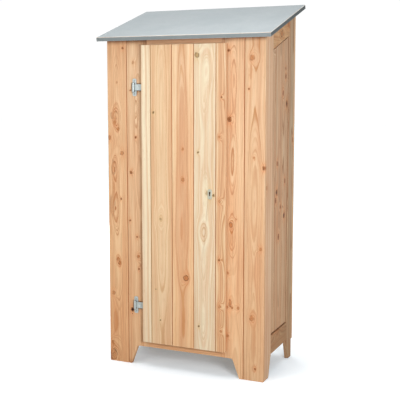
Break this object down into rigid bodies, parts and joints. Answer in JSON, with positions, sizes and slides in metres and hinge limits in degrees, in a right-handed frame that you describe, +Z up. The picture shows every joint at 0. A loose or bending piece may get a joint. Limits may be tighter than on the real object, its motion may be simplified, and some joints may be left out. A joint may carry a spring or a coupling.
{
  "type": "garden storage cabinet",
  "caption": "Tall free-standing garden cabinet of upright larch boards on cut-out feet, with a hinged plank door, a rim lock, inner shelves and a sloping roof covered in folded zinc sheet.",
  "frame": {"origin": "on the ground, at the middle of the roof's outline seen from above", "axes": "+X to the right seen from the front, +Y from the door to the back wall, +Z up"},
  "size_m": [0.897, 0.5418, 1.8],
  "materials": {
    "larch": "planed, untreated",
    "larch_pale": "planed, untreated sapwood",
    "inner_timber": "planed, untreated",
    "zinc_sheet": "dull rolled zinc",
    "galvanised_steel": "bright zinc plated",
    "screw_steel": "bright zinc plated"
  },
  "bodies": {
    "cabinet": {"back_board_1": "larch", "back_board_2": "larch", "back_board_3": "larch", "back_board_4": "larch", "back_board_5": "larch", "back_board_6": "larch", "back_top_batten": "inner_timber", "floor_bearer_left": "inner_timber", "floor_bearer_right": "inner_timber", "floor_panel": "inner_timber", "frame_screws": "screw_steel", "front_bottom_rail": "larch", "front_head_batten": "inner_timber", "front_inner_board_left": "larch", "front_inner_board_right": "larch", "front_outer_board_left": "larch", "front_outer_board_right": "larch", "front_top_rail": "larch", "hinge_pins": "galvanised_steel", "hinge_plate_high": "galvanised_steel", "hinge_plate_low": "galvanised_steel", "lock_keep": "galvanised_steel", "roof_deck": "inner_timber", "roof_sheet": "zinc_sheet", "shelf_cleat_high_left": "inner_timber", "shelf_cleat_high_right": "inner_timber", "shelf_cleat_low_left": "inner_timber", "shelf_cleat_low_right": "inner_timber", "shelf_high": "inner_timber", "shelf_low": "inner_timber", "side_bottom_rail_left": "larch", "side_bottom_rail_right": "larch", "side_front_stile_left": "larch", "side_front_stile_right": "larch", "side_panel_batten_left": "inner_timber", "side_panel_batten_right": "inner_timber", "side_panel_board_front_left": "larch", "side_panel_board_front_right": "larch", "side_panel_board_middle_left": "larch", "side_panel_board_middle_right": "larch", "side_panel_board_rear_left": "larch", "side_panel_board_rear_right": "larch", "side_rear_stile_left": "larch", "side_rear_stile_right": "larch", "side_top_rail_left": "larch", "side_top_rail_right": "larch"},
    "door": {"door_board_1": "larch_pale", "door_board_2": "larch", "door_board_3": "larch", "door_board_4": "larch_pale", "door_board_5": "larch", "door_ledge_low": "inner_timber", "door_ledge_middle": "inner_timber", "door_ledge_high": "inner_timber", "hinge_strap_low": "galvanised_steel", "hinge_strap_high": "galvanised_steel", "lock_case": "galvanised_steel", "lock_escutcheon": "galvanised_steel", "door_screws": "screw_steel"},
    "bolt": {"lock_bolt": "galvanised_steel"}
  },
  "joints": [
    {"name": "door_swing", "type": "hinge", "parent": "cabinet", "child": "door", "pos_m": [-0.2655, -0.23418, 0.8455], "axis": [0, 0, -1], "range_deg": [0, 160]},
    {"name": "bolt_slide", "type": "slide", "parent": "door", "child": "bolt", "axis": [1, 0, 0], "range_m": [0, 0.018]}
  ]
}
